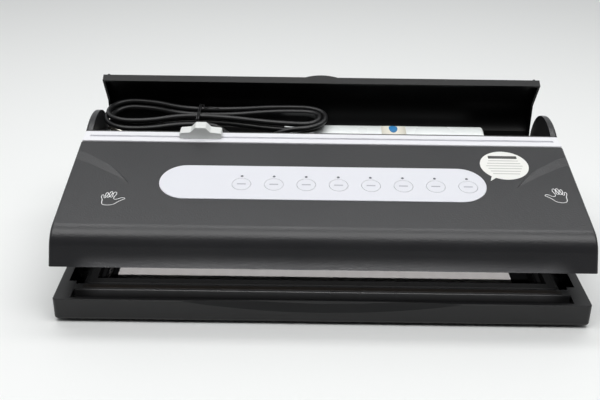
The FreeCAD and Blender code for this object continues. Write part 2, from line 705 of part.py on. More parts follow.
air_hose = hose_line.makePipeShell([air_hose], True, False)
power_x = -half + power_inset
power_y = bay_front - power_gap
post_height = 3.0
power_top = floor_z + post_height + board_thick
power_board = box(power_x, power_x + power_length, power_y, power_y + power_wide, floor_z + post_height,
                  power_top)
for x in (power_x + post_inset, power_x + power_length - post_inset):
    for y in (power_y + post_inset, power_y + power_wide - post_inset):
        underside = underside.fuse(Part.makeCylinder(3.0, post_height, V(x, y, floor_z)))
for start, long, wide, tall in ((0.11, 0.36, 0.68, 21.4), (0.55, 0.15, 0.32, 15.4), (0.75, 0.16, 0.56, 9.4)):
    x = power_x + start * power_length
    y = power_y + 0.16 * power_wide
    power_board = power_board.fuse(box(x, x + long * power_length, y, y + wide * power_wide, power_top,
                                       power_top + tall))
underside_panel = underside.removeSplitter()

# Cutter rail with its closed-ended groove, slider and blade
rail_half = half - (rail_z - lid_low) * draft - rail_end
rail = box(-rail_half, rail_half, 0, rail_width, -rail_thick, 0)
rail_edges = [e for e in rail.Edges if e.BoundBox.ZMin > -0.01 and e.BoundBox.XLength > 1]
rail = rail.makeFillet(0.8, rail_edges)
groove_half = rail_half - groove_end
rail = rail.cut(box(-groove_half, groove_half, groove_at - groove_width / 2.0, groove_at + groove_width / 2.0,
                    -groove_depth, 1.0))
cutter_rail = on_rail(rail)
wing = slider_length / 2.0
crest = ridge_length / 2.0
rising = [(wing, play), (wing, play + slider_height - 1.0), (crest + 4.0, play + slider_height),
          (crest, play + ridge_height)]
around = rising + [(-x, z) for x, z in reversed(rising)] + rising[:1]
slider = Part.Face(Part.makePolygon([V(x, slider_front, z) for x, z in around]))
slider = slider.extrude(V(0, slider_depth, 0))
long_edges = [e for e in slider.Edges if e.BoundBox.YLength > slider_depth - 0.1 and e.BoundBox.ZMin > play + 0.1]
slider = slider.makeFillet(slider_round, long_edges)
end_edges = [e for e in slider.Edges if e.BoundBox.YLength < 0.01 and e.CenterOfMass.z > play + 0.1]
slider = slider.makeFillet(slider_round / 2.0, end_edges)
foot_half = slider_length / 2.0 - 6.0
slider = slider.fuse(box(-foot_half, foot_half, groove_at - groove_width / 2.0 + play,
                         groove_at + groove_width / 2.0 - play, -groove_depth / 2.0, 2.0 * play + 1.0))
blade_thick = 0.5
blade_slot = box(-foot_half + 4.0, foot_half - 4.0, groove_at - blade_thick / 2.0,
                 groove_at + blade_thick / 2.0,
                 -groove_depth + play, play + slider_height - 1.5)
slider = slider.cut(blade_slot)
slider.translate(V(slider_x, 0, 0))
blade_slot.translate(V(slider_x, 0, 0))
cutter_slider = on_rail(slider)
cutter_blade = on_rail(blade_slot)


def cover_run(inset):
    """Arched side outline of the compartment cover, moved inward, from its free edge to the hinge barrel."""
    knee_y = cover_top_y + 15.5
    knee_z = cover_top_z - 4.4
    drop_y = cover_top_y + 26.0
    drop_z = cover_top_z - 17.8
    return [(cover_edge_y, cover_edge_z - inset),
            (((cover_edge_y + cover_top_y) / 2.0, (cover_edge_z + cover_top_z) / 2.0 + 0.9 - inset),
             (cover_top_y - 0.2 * inset, cover_top_z - inset)),
            ((knee_y - 0.6 * inset, knee_z - 0.8 * inset), (drop_y - 0.83 * inset, drop_z - 0.56 * inset))]


# Compartment cover: arched shell with end webs, a lip along the free edge, corner nubs and a finger tab
cover_half = bay_half - cover_play
outer_run = cover_run(0.0)
inner_run = cover_run(cover_wall)
barrel_low = (cover_hinge_y - 2.4, cover_hinge_z + 2.4)
barrel_high = (cover_hinge_y + 1.6, cover_hinge_z + 3.2)
back_mid = ((inner_run[0][0] + inner_run[1][1][0]) / 2.0, inner_run[1][0][1])
shell = prism(outer_run + [barrel_high, barrel_low, inner_run[2][1],
                           (inner_run[2][0], inner_run[1][1]), (back_mid, inner_run[0])], -cover_half,
                           cover_half)
barrel = rod(V(-cover_half, cover_hinge_y, cover_hinge_z), V(cover_half, cover_hinge_y, cover_hinge_z),
             cover_barrel)
shell = shell.fuse(barrel)
lip_depth = 4.4
shell = shell.fuse(box(-cover_half, cover_half, cover_edge_y, cover_edge_y + 1.8,
                       cover_edge_z - cover_wall - lip_depth, cover_edge_z - cover_wall / 2.0))
web_thick = 1.8
web_outline = outer_run + [barrel_high, barrel_low, (inner_run[2][1][0] - 5.0, inner_run[2][1][1] - 2.0),
                           (cover_top_y, cover_top_z - 9.0),
                           (cover_edge_y, cover_edge_z - cover_wall - lip_depth)]
for web in both_sides(prism(web_outline, cover_half - web_thick, cover_half)):
    shell = shell.fuse(web)
tab_low = cover_edge_z - cover_wall / 2.0
tab_ends = [V(x, cover_edge_y, tab_low) for x in (-tab_length / 2.0, tab_length / 2.0)]
tab_arc = Part.Arc(tab_ends[0], V(0, cover_edge_y, cover_edge_z + tab_rise), tab_ends[1]).toShape()
tab = Part.Face(Part.Wire([tab_arc, Part.LineSegment(tab_ends[1], tab_ends[0]).toShape()]))
shell = shell.fuse(tab.extrude(V(0, tab_depth, 0)))
nub = Part.makeSphere(1.6, V(cover_half - 4.5, cover_edge_y + 1.7, cover_edge_z + 0.2))
for piece in both_sides(nub):
    shell = shell.fuse(piece)
cover_pin = rod(V(cover_half - 12.0, cover_hinge_y, cover_hinge_z),
                V(cover_pin_end - 0.5, cover_hinge_y, cover_hinge_z), pin_radius)
cover_pin_bore = rod(V(cover_half - 12.0, cover_hinge_y, cover_hinge_z),
                     V(cover_half + 1, cover_hinge_y, cover_hinge_z), pin_radius + 0.02)
for cut in both_sides(cover_pin_bore):
    shell = shell.cut(cut)
roll_cover = shell.removeSplitter()
cover_pins = both_sides(cover_pin)

# Bag roll: wound film with slightly rounded ends and an open core
bag_roll = rod(V(roll_left, roll_y, roll_z), V(roll_right, roll_y, roll_z), roll_radius)
bag_roll = bag_roll.makeFillet(1.5, [e for e in bag_roll.Edges if e.BoundBox.XLength < 0.01])
bag_roll = bag_roll.cut(rod(V(roll_left - 1, roll_y, roll_z), V(roll_right + 1, roll_y, roll_z), roll_core))

# Release buttons in the base sides, with their return springs
button = box(half - wall - button_deep, half, latch_y - button_length / 2.0, latch_y + button_length / 2.0,
             button_z - button_height / 2.0, button_z + button_height / 2.0)
button_face = [e for e in button.Edges if e.BoundBox.XMin > half - 0.01]
button = button.makeFillet(1.0, button_face)
tooth = box(latch_x + 2.2 + button_travel, half - wall - button_deep, latch_y - 4.0, latch_y + 4.0,
            button_z + 1.0, button_z + 4.0)
button = button.fuse(tooth)
release_buttons = both_sides(button)
spring_start = half - wall - button_deep
spring_end = spring_start - spring_length
springs = []
for y in (latch_y - button_length / 2.0 + 2.5, latch_y + button_length / 2.0 - 2.5):
    coil = Part.makeHelix(spring_length / spring_turns, spring_length - spring_wire, spring_radius)
    wire = Part.Wire([Part.Circle(V(spring_radius, 0, 0), V(0, 1, 0), spring_wire / 2.0).toShape()])
    spring = Part.Wire(coil).makePipeShell([wire], True, True)
    spring.rotate(V(0, 0, 0), V(0, 1, 0), 90)
    spring.translate(V(spring_end + spring_wire / 2.0, y, button_z))
    springs.append(spring)
springs_left = [spring.mirror(V(0, 0, 0), V(1, 0, 0)) for spring in springs]


def arc_edge(start, tangent, end):
    """Arc that leaves start along tangent and reaches end; a straight line where they are in line."""
    run = end - start
    along = run.dot(tangent)
    across = run - tangent * along
    if across.Length < 1e-4:
        return Part.LineSegment(start, end).toShape(), 1e6
    side = across.normalize()
    radius = run.Length ** 2 / (2.0 * run.dot(side))
    turn = 2.0 * math.atan2(run.dot(side), along)
    middle = start + tangent * (radius * math.sin(turn / 2.0)) + side * (radius * (1.0 - math.cos(turn / 2.0)))
    return Part.Arc(start, middle, end).toShape(), radius


def biarc(p, t, q, u):
    """Two arcs from p along t to q along u, with their radii."""
    gap = q - p
    both = t + u
    a = 2.0 * (1.0 - t.dot(u))
    b = 2.0 * gap.dot(both)
    c = -gap.dot(gap)
    reach = -c / b if abs(a) < 1e-6 else (-b + math.sqrt(b * b - 4.0 * a * c)) / (2.0 * a)
    left = p + t * reach
    right = q - u * reach
    join = (left + right) * 0.5
    way = right - left
    first, r1 = arc_edge(p, t, join)
    second, r2 = arc_edge(join, way.normalize(), q)
    return [first, second], [r1, r2]


# Mains cord: gland, tied hank of loops drawn in at the waist, strain relief and flat two-pin plug
hank_turn = FreeCAD.Rotation(V(0, 0, 1), hank_swing)
hank_turn = hank_turn.multiply(FreeCAD.Rotation(V(0, 1, 0), hank_fall))
hank_turn = hank_turn.multiply(FreeCAD.Rotation(V(1, 0, 0), hank_tilt))
cord_pitch = cord + cord_gap
layer = cord_pitch / 2.0


def hank_point(along, across, out):
    """Point of the hank's own plane: along X, across it up to the rear, and out of it."""
    return V(hank_x, hank_y, hank_z) + hank_turn.multVec(V(along, across, out))


def hank_station(turn, station):
    """Point and heading at one of eight places round a loop; loops spiral in, climb a layer and spiral out."""
    t = turn + station / 8.0
    inward = cord_pitch * min(t, hank_turns - t)
    climb = max(-1.0, min(1.0, (t - hank_turns / 2.0) / 0.25))
    near = hank_half_left - inward
    far = hank_half_right - inward
    waist = hank_waist - inward
    left = hank_left - inward
    right = hank_right - inward
    places = ((0.0, -waist, -1, 0), (-left + hank_bulge * near, -near, -1, 0), (-left, 0.0, 0, 1),
              (-left + hank_bulge * near, near, 1, 0), (0.0, waist, 1, 0),
              (right - hank_bulge * far, far, 1, 0), (right, 0.0, 0, -1),
              (right - hank_bulge * far, -far, -1, 0))
    along, across, go_along, go_across = places[station]
    return hank_point(along, across, climb * layer), hank_turn.multVec(V(go_along, go_across, 0))


gland_out = V(gland_x, bay_front + gland_length, gland_z)
lift = math.radians(plug_tilt)
plug_axis = V(-math.cos(lift), 0, math.sin(lift))
cord_rest = V(cord_rest_x, plug_y, bay_floor + play + cord / 2.0)
relief_end = cord_rest + V(-plug_run, 0, plug_run * math.tan(lift / 2.0))
stations = [(gland_out + V(0, cord, 0), V(0, 1, 0)), (hank_point(tie_run, -hank_waist, -layer),
                                                      hank_turn.multVec(V(-1, 0, 0)))]
for turn in range(hank_turns):
    stations += [hank_station(turn, station) for station in range(8)]
leave = math.radians(leave_turn)
stations[-1] = (hank_point(hank_right - hank_bulge * hank_half_right, -hank_half_right - leave_out, layer),
                hank_turn.multVec(V(-math.cos(leave), -math.sin(leave), 0)))
stations += [(cord_rest, V(-1, 0, 0)), (relief_end, plug_axis)]
edges = [Part.LineSegment(gland_out, stations[0][0]).toShape()]
radii = []
for (p, t), (q, u) in zip(stations, stations[1:]):
    arcs, sizes = biarc(p, t, q, u)
    edges += arcs
    radii += sizes
plug_start = relief_end + plug_axis * cord
edges.append(Part.LineSegment(relief_end, plug_start).toShape())
cord_line = Part.Wire(edges)
section = Part.Wire([Part.Circle(gland_out, V(0, 1, 0), cord / 2.0).toShape()])
cord_hank = cord_line.makePipeShell([section], True, False)
cord_length = cord_line.Length
print("cord length", round(cord_length, 1), "tightest bend", round(min(radii), 1))
print("tube volume over section times length",
      round(cord_hank.Volume / (math.pi * cord ** 2 / 4 * cord_length), 4))
spots = cord_line.discretize(Distance=2.0)
least = 1e9
for i, a in enumerate(spots):
    for b in spots[i + 12:]:
        least = min(least, a.distanceToPoint(b))
print("least gap of the cord to itself", round(least - cord, 2))

cord_gland = rod(V(gland_x, bay_front, gland_z), gland_out, gland_radius)
cord_gland = cord_gland.fuse(rod(V(gland_x, bay_front - 2 * wall + 0.5, gland_z),
                                 V(gland_x, bay_front, gland_z),
                                 gland_radius - 1.25))
relief = Part.makeCone(relief_radius, relief_radius + 1.6, relief_length, plug_start, plug_axis)
plug_low = plug_start + plug_axis * relief_length
plug_block = box(-plug_wide / 2.0, plug_wide / 2.0, -plug_thick / 2.0, plug_thick / 2.0, 0, plug_length)
plug_block = plug_block.makeFillet(5.0, [e for e in plug_block.Edges if e.BoundBox.ZLength > plug_length - 1])
prongs = []
for x in (-prong_pitch / 2.0, prong_pitch / 2.0):
    prong = Part.makeCylinder(prong_radius, prong_length, V(x, 0, plug_length))
    prongs.append(prong.makeFillet(0.8, [e for e in prong.Edges if e.BoundBox.ZMin > plug_length + 1]))


def on_plug(shape):
    """Carries a piece drawn upright along Z onto the leaning plug."""
    placed = shape.copy()
    placed.rotate(V(0, 0, 0), V(0, 0, 1), 90)
    placed.rotate(V(0, 0, 0), V(0, 1, 0), -90 + plug_tilt)
    placed.translate(plug_low)
    return placed


plug_body = on_plug(plug_block).fuse(relief).removeSplitter()
plug_prongs = [on_plug(prong) for prong in prongs]
tie_room = cord / 2.0 + play
tie_thick = 1.2
tie_flat = hank_waist + tie_room
tie_tall = layer + tie_room


def tie_slab(grow):
    slab = round_plate(2 * (tie_flat + grow), 2 * (tie_tall + grow), -2.5, 2.5, tie_room + grow)
    slab.rotate(V(0, 0, 0), V(0, 1, 0), 90)
    slab.rotate(V(0, 0, 0), V(1, 0, 0), 90)
    slab.Placement = FreeCAD.Placement(V(hank_x, hank_y, hank_z), hank_turn).multiply(slab.Placement)
    return slab


twist_tie = tie_slab(tie_thick).cut(tie_slab(0.0))

# Poses: the cover swings open on its pins, then the whole lid stands ajar on the rear hinge
lid_axis = V(0, hinge_y, hinge_z)
cover_axis = V(0, cover_hinge_y, cover_hinge_z)


def pose(shapes, carried, opened):
    """Copies of the shapes as they stand."""
    posed = []
    for shape in shapes:
        copy = shape.copy()
        if opened:
            copy.rotate(cover_axis, V(1, 0, 0), -cover_open)
        if carried:
            copy.rotate(lid_axis, V(1, 0, 0), -lid_ajar)
        posed.append(copy)
    return posed


on_base = {"base_shell": [base_shell], "bottom_plate": [bottom_plate], "base_screws": base_screws,
           "feet": feet,
           "drip_tray": [drip_tray], "tray_strip": [tray_strip], "seal_bar": [seal_bar],
           "heating_strip": [heating_strip], "lower_gasket": [lower_gasket], "lid_hinge_pins": hinge_pins,
           "friction_washers": washers, "release_button_right": release_buttons[:1],
           "release_button_left": release_buttons[1:], "release_spring_right": springs,
           "release_spring_left": springs_left}
on_lid = {"upper_housing": [upper_housing], "underside_panel": [underside_panel],
          "housing_screws": housing_screws,
          "upper_gasket": [upper_gasket], "pressure_strip": [pressure_strip], "latch_hooks": latch_hooks,
          "lid_switch": [lid_switch], "control_panel": [control_panel], "light_pipes": pipes,
          "key_switches": switches, "control_board": [control_board], "pump_motor": [pump_motor],
          "pump_head": [pump_head], "release_valve": [release_valve], "intake_nozzle": [intake_nozzle],
          "air_hose": [air_hose], "power_board": [power_board], "cutter_rail": [cutter_rail],
          "cutter_slider": [cutter_slider], "cutter_blade": [cutter_blade], "bag_roll": [bag_roll],
          "cord_gland": [cord_gland], "cord_hank": [cord_hank], "twist_tie": [twist_tie],
          "plug_body": [plug_body], "plug_prongs": plug_prongs}
for number, key in enumerate(keys):
    on_lid["key_" + str(number + 1)] = [key]
on_cover = {"roll_cover": [roll_cover], "cover_hinge_pins": cover_pins}
on_cord = ("cord_gland", "cord_hank", "twist_tie", "plug_body", "plug_prongs")

nodes = {}
for group, carried, opened in ((on_base, False, False), (on_lid, True, False), (on_cover, True, True)):
    for name, shapes in group.items():
        nodes[name] = pose(shapes, carried, opened)

# The origin stands under the middle of the object, on the surface it rests on
spread = Part.makeCompound([s for name, shapes in nodes.items() if name not in on_cord
                            for s in shapes]).BoundBox
to_origin = V(-(spread.XMin + spread.XMax) / 2.0, -(spread.YMin + spread.YMax) / 2.0, -spread.ZMin)
print("shift to origin", [round(c, 3) for c in to_origin], "size",
      [round(c, 2) for c in (spread.XLength, spread.YLength, spread.ZLength)])
for name, shapes in nodes.items():
    for shape in shapes:
        shape.translate(to_origin)
    solid = shapes[0] if len(shapes) == 1 else Part.makeCompound(shapes)
    solid.exportStep("parts/" + name + ".step")
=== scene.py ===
import bpy
import json
import math
from mathutils import Matrix, Vector


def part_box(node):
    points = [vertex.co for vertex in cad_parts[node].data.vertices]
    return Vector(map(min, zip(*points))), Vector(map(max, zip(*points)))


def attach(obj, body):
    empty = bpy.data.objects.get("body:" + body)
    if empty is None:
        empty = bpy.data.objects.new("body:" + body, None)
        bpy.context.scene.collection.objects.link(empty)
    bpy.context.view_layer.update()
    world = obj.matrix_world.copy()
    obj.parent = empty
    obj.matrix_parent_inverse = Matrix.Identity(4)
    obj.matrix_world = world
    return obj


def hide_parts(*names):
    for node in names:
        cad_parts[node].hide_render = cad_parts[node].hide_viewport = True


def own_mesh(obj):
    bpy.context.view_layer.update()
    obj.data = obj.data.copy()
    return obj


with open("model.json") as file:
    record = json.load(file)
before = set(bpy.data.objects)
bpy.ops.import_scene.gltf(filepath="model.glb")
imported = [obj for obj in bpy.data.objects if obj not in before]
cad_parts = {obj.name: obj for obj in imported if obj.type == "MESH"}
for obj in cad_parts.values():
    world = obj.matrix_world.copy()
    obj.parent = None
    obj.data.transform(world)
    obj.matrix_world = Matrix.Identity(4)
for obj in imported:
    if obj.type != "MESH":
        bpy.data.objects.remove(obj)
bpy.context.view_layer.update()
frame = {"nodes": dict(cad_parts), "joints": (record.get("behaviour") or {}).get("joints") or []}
nodes = frame["nodes"]

# Camera: stands in front and above, almost square to the front edge, looking down on the sealer.
# Its place and tilt are those at which the base, lid, rail and cover edges fall where the photo has them.
camera_place = (-0.0188, -0.66655, 0.3846)
lens, film_width = 53.98, 36
look_down = math.radians(26.56)
look_aside = 0.001975
tilt = -0.01435
forward = Vector((math.sin(look_aside) * math.cos(look_down), math.cos(look_aside) * math.cos(look_down),
                  -math.sin(look_down)))
level = Vector((math.cos(look_aside), -math.sin(look_aside), 0))
drop = forward.cross(level)
right = level * math.cos(tilt) + drop * math.sin(tilt)
down = drop * math.cos(tilt) - level * math.sin(tilt)
bpy.ops.object.camera_add()
camera = bpy.context.object
camera.matrix_world = (Matrix.Translation(camera_place)
                       @ Matrix((right, -down, -forward)).transposed().to_4x4())
camera.data.lens = lens
camera.data.sensor_width = film_width
bpy.context.scene.camera = camera
bpy.context.scene.view_settings.view_transform = "Standard"

# Base: a low tray of dark grey ABS with flat side rims and a shallow finger scoop in front, on rubber feet.
# A plate closes it from below and is held by screws.
grain_depth = 0.0004
drift_mm = 71.4  # width of the patches in which the gloss drifts


def colour(code):
    """Linear colour of an sRGB hex code."""
    parts = [int(code[i:i + 2], 16) / 255 for i in (1, 3, 5)]
    return [c / 12.92 if c <= 0.04045 else ((c + 0.055) / 1.055) ** 2.4 for c in parts] + [1]


def add_node(tree, kind, links=(), **settings):
    """Adds a shader node, sets its sockets, and links other nodes' outputs to them."""
    made = tree.nodes.new(kind)
    for name, value in settings.items():
        made.inputs[name.replace("_", " ")].default_value = value
    for source, output, socket in links:
        tree.links.new(source.outputs[output], made.inputs[socket])
    return made


def finish_of(name, code, rough, grain=0.0, grain_mm=1.0, drift=0.0, **settings):
    """Material of one base colour, with a fine surface grain and a gloss that drifts a little from place to place.

    Real grain on plastic and paper is a few tenths of a millimetre wide. It is drawn coarser, so that it shows.
    """
    made = bpy.data.materials.new(name)
    made.use_nodes = True
    tree = made.node_tree
    shader = tree.nodes["Principled BSDF"]
    shader.inputs["Base Color"].default_value = colour(code)
    shader.inputs["Roughness"].default_value = rough
    for socket, value in settings.items():
        shader.inputs[socket.replace("_", " ")].default_value = value
    on_piece = (add_node(tree, "ShaderNodeTexCoord"), "Object", "Vector")
    if grain:
        specks = add_node(tree, "ShaderNodeTexNoise", [on_piece], Scale=1000 / grain_mm, Detail=3.0)
        bump = add_node(tree, "ShaderNodeBump", [(specks, "Fac", "Height")],
                        Strength=grain, Distance=grain_depth)
        tree.links.new(bump.outputs["Normal"], shader.inputs["Normal"])
    if drift:
        cloud = add_node(tree, "ShaderNodeTexNoise", [on_piece], Scale=1000 / drift_mm, Detail=4.0)
        gloss = add_node(tree, "ShaderNodeMapRange", [(cloud, "Fac", "Value")],
                         From_Min=0.3, From_Max=0.7, To_Min=rough - drift, To_Max=rough + drift)
        tree.links.new(gloss.outputs["Result"], shader.inputs["Roughness"])
    return made


def dress(material, *names):
    """Gives CAD pieces their material."""
    for name in names:
        nodes[name].data.materials.clear()
        nodes[name].data.materials.append(material)


# Moulded ABS: near black, with a satin sheen that is a little uneven.
dress(finish_of("dark grey base plastic", "#202021", 0.36, grain=0.1, grain_mm=0.91, drift=0.05,
                Specular_IOR_Level=0.4),
      "base_shell", "bottom_plate")
# Moulded rubber: black and dull.
dress(finish_of("black foot rubber", "#161616", 0.8, grain=0.1, grain_mm=1.67), "feet")
# Plated steel: bright grey metal with soft reflections, also on the pins and the blade.
dress(finish_of("zinc plated steel", "#A9ABAD", 0.32, Metallic=1.0),
      "base_screws", "housing_screws", "lid_hinge_pins", "cover_hinge_pins", "cutter_blade")

# Return springs: two coils of steel wire behind each release button, held by a stop in the base.
spring_wire_radius = 0.00025
spring_radius = 0.0016
spring_start = 0.18725
spring_length = 0.006
spring_height = 0.011
spring_depths = (-0.08275, -0.05775)
spring_turns, spring_steps = 5, 8


def meshed(name, line):
    """Makes a mesh piece of a curve with thickness."""
    made = bpy.data.objects.new(name, line)
    bpy.context.collection.objects.link(made)
    bpy.ops.object.select_all(action="DESELECT")
    made.select_set(True)
    bpy.context.view_layer.objects.active = made
    bpy.ops.object.convert(target="MESH")
    return bpy.context.object


def tube(name, runs, radius, sides, detail):
    """Round tube along each run of points, as a mesh."""
    line = bpy.data.curves.new(name, "CURVE")
    line.dimensions = "3D"
    line.bevel_depth = radius
    line.bevel_resolution = sides
    line.use_fill_caps = True
    for run in runs:
        spline = line.splines.new("NURBS")
        spline.points.add(len(run) - 1)
        for control, point in zip(spline.points, run):
            control.co = (*point, 1)
        spline.order_u = 3
        spline.use_endpoint_u = True
        spline.resolution_u = detail
    made = meshed(name, line)
    bpy.ops.object.shade_smooth()
    return made


# Drawn spring steel: darker than the plating, with sharp highlights.
spring_steel = finish_of("spring steel", "#8D8F92", 0.28, Metallic=1.0)
angles = [2 * math.pi * i / spring_steps for i in range(spring_turns * spring_steps + 1)]
for side, side_name in ((-1, "left"), (1, "right")):
    coils = [[(side * (spring_start + spring_length * angle / angles[-1]),
               y + spring_radius * math.cos(angle), spring_height + spring_radius * math.sin(angle))
              for angle in angles] for y in spring_depths]
    springs = tube("release_coils_" + side_name, coils, spring_wire_radius, sides=2, detail=4)
    springs.data.materials.append(spring_steel)
    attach(springs, "base")
    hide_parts("release_spring_" + side_name)
    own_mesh(springs)

# Chamber: a black drip tray with a plain grey paper strip, foam gaskets above and below, and the sealing bar
# with its coated heating strip, all let into the base. The pressure strip faces the bar from the lid.

# Moulded ABS: black, satin and a little uneven.
dress(finish_of("black moulded plastic", "#0C0C0D", 0.42, grain=0.08, grain_mm=1.11, drift=0.05),
      "drip_tray", "underside_panel", "latch_hooks", "release_button_left", "release_button_right",
      "friction_washers", "pump_head", "release_valve", "intake_nozzle")
# Heat-proof moulded plastic, dark grey. Its tone is lifted one step above the tray as a painted highlight,
# standing in for the light line along the bar's front edge.
dress(finish_of("bar plastic with painted highlight", "#39393A", 0.4, grain=0.08, grain_mm=1.11), "seal_bar")
# Uncoated paper: pale warm grey and matt.
dress(finish_of("grey label paper", "#D6D2D1", 0.75, grain=0.05, grain_mm=2.5), "tray_strip")
# Cut foam rubber: black, open and without sheen.
dress(finish_of("black sealing foam", "#121213", 0.85, grain=0.25, grain_mm=0.71),
      "lower_gasket", "upper_gasket", "pressure_strip")
# Woven glass with a slippery coating: dark brown, satin and faintly uneven.
dress(finish_of("coated glass cloth", "#2B2724", 0.45, grain=0.2, grain_mm=0.625), "heating_strip")

# Lid: one wedge-shaped moulding of charcoal ABS, hinged on the base's rear edge, with two cheeks at the rear
# that hold the compartment's cover. Its satin sheen makes it look lighter from above than from in front.
dress(finish_of("charcoal lid plastic", "#29292B", 0.32, grain=0.35, grain_mm=1.43, drift=0.04,
                Specular_IOR_Level=0.5),
      "upper_housing")

# Works inside the lid: pump, hose, boards and switches, screwed to the underside panel.
# A plated motor can, clear silicone, green solder mask and black moulded plastic, all plain and clean.
dress(finish_of("plated motor can", "#8E9093", 0.3, Metallic=0.9), "pump_motor")
dress(finish_of("clear silicone hose", "#CFCFC8", 0.35), "air_hose")
dress(finish_of("green circuit board", "#1F5A33", 0.4, grain=0.1, grain_mm=2.0), "control_board", "power_board")
dress(finish_of("black switch plastic", "#1A1A1A", 0.5), "key_switches", "lid_switch")

# Control panel: a white glossy pill let into the sloping top, with eight round keys and a light pipe above each.
# Each key carries a plain grey printed bar. Sizes on the lid are in millimetres.
hinge = Vector(next(joint["pos_m"] for joint in frame["joints"] if joint["name"] == "lid_hinge"))
hinge_depth = 194  # from the base's front
ajar = math.radians(7.85)
slope = math.radians(20.6)
slope_front, slope_foot = 17.3, 50.1  # where the sloping top starts, back from the base's front and up
ink_thick = 0.06
key_count, first_key, key_pitch, key_row = 8, -63, 25.03, 45.05
key_bar_length, key_bar_width, key_bar_height = 6.8, 1.1, 0.73


def on_lid(x, y, z):
    """Point of the lid, given with the lid shut and in millimetres from the base's front, as the lid stands."""
    back = (y - hinge_depth) / 1000
    up = z / 1000 - hinge.z
    return Vector((x / 1000, hinge.y + back * math.cos(ajar) + up * math.sin(ajar),
                   hinge.z - back * math.sin(ajar) + up * math.cos(ajar)))


def on_top(x, s, n):
    """Point of the lid's sloping top: across, up the slope from the front edge, and out, in millimetres."""
    return on_lid(x, slope_front + s * math.cos(slope) - n * math.sin(slope),
                  slope_foot + s * math.sin(slope) + n * math.cos(slope))


top_frame = Matrix.Translation(on_top(0, 0, 0)) @ Matrix.Rotation(slope - ajar, 4, "X")


def bar_on_top(name, x, s, length, width, height, material, body):
    """Printed bar on the sloping top, centred at x across and s up the slope, in millimetres."""
    bpy.ops.object.select_all(action="DESELECT")
    bpy.ops.mesh.primitive_cube_add(size=0.001)
    made = bpy.context.object
    made.name = name
    made.matrix_world = (top_frame @ Matrix.Translation((x / 1000, s / 1000, height / 1000))
                         @ Matrix.Diagonal((length, width, ink_thick, 1)))
    bpy.ops.object.transform_apply(location=True, rotation=True, scale=True)
    made.data.materials.append(material)
    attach(made, body)


# Polished moulded ABS: cool white, with a thin clear gloss on the panel.
dress(finish_of("white panel plastic", "#DFE0E6", 0.3, grain=0.02, grain_mm=2.0, Coat_Weight=0.2),
      "control_panel")
dress(finish_of("white key plastic", "#DDDEE4", 0.35, grain=0.03, grain_mm=1.43),
      *["key_%d" % (k + 1) for k in range(key_count)])
# Smoked acrylic: dark grey and shiny while unlit.
dress(finish_of("smoked light pipe", "#6D6F76", 0.2), "light_pipes")
# Printed ink: mid grey and matt.
key_ink = finish_of("grey key ink", "#A8A8B2", 0.6)
for k in range(key_count):
    bar_on_top("key_bar_%d" % (k + 1), first_key + key_pitch * k, key_row, key_bar_length, key_bar_width,
               key_bar_height, key_ink, "key_%d" % (k + 1))

# Marks on the lid: two printed hand outlines where the lid is pressed, and a white speech-bubble sticker of
# paper with plain grey bars, stuck on beside the panel.
hand_line_radius, hand_line_rise = 0.3, 0.1
hand = [(0.12, 0.05), (0.06, 0.42), (0.0, 0.68), (0.06, 0.75), (0.15, 0.52), (0.16, 0.84), (0.23, 0.93),
        (0.27, 0.56), (0.33, 0.94), (0.41, 1.0), (0.4, 0.57), (0.52, 0.97), (0.6, 0.93), (0.53, 0.5),
        (0.62, 0.42), (0.88, 0.55), (1.0, 0.5), (0.9, 0.4), (0.73, 0.24), (0.6, 0.08), (0.4, 0.0), (0.2, 0.01)]
# Screen-printed ink: bright white and matt.
white_ink = finish_of("white printing ink", "#F6F6F6", 0.6)
for name, little_finger, thumb, wrist, fingertip in (("hand_mark_left", -168.0, -150.0, 18.0, 34.0),
                                                     ("hand_mark_right", 187.0, 170.0, 28.0, 45.0)):
    line = bpy.data.curves.new(name, "CURVE")
    line.dimensions = "3D"
    line.bevel_depth = hand_line_radius / 1000
    line.bevel_resolution = 1
    spline = line.splines.new("BEZIER")
    spline.bezier_points.add(len(hand) - 1)
    for control, (u, v) in zip(spline.bezier_points, hand):
        control.co = on_top(little_finger + (thumb - little_finger) * u, wrist + (fingertip - wrist) * v,
                            hand_line_rise)
        control.handle_left_type = control.handle_right_type = "AUTO"
    spline.use_cyclic_u = True
    spline.resolution_u = 4
    mark = meshed(name, line)
    mark.data.materials.append(white_ink)
    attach(mark, "lid")

bubble_x, bubble_s = 145.0, 74.0
bubble_half_width, bubble_half_height = 19.3, 18.4
bubble_rise, bubble_thick = 0.05, 0.12
tail_aside, tail_below = 14.0, 20.5
print_height = 0.2
bpy.ops.object.select_all(action="DESELECT")
bpy.ops.mesh.primitive_circle_add(vertices=64, radius=0.001, fill_type="NGON")
bubble = bpy.context.object
bubble.name = "bubble_sticker"
bubble.matrix_world = (top_frame @ Matrix.Translation((bubble_x / 1000, bubble_s / 1000, bubble_rise / 1000))
                       @ Matrix.Diagonal((bubble_half_width, bubble_half_height, 1, 1)))
bpy.ops.object.transform_apply(location=True, rotation=True, scale=True)
tail_tip = on_top(bubble_x - tail_aside, bubble_s - tail_below, bubble_rise)
min(bubble.data.vertices, key=lambda corner: (corner.co - tail_tip).length).co = tail_tip
bpy.ops.object.modifier_add(type="SOLIDIFY")
bubble.modifiers["Solidify"].thickness = bubble_thick / 1000
bubble.modifiers["Solidify"].offset = 1
bpy.ops.object.modifier_apply(modifier="Solidify")
# Coated paper: off-white with a soft sheen.
bubble.data.materials.append(finish_of("white sticker paper", "#E9E9E5", 0.6, grain=0.05, grain_mm=3.33))
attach(bubble, "lid")
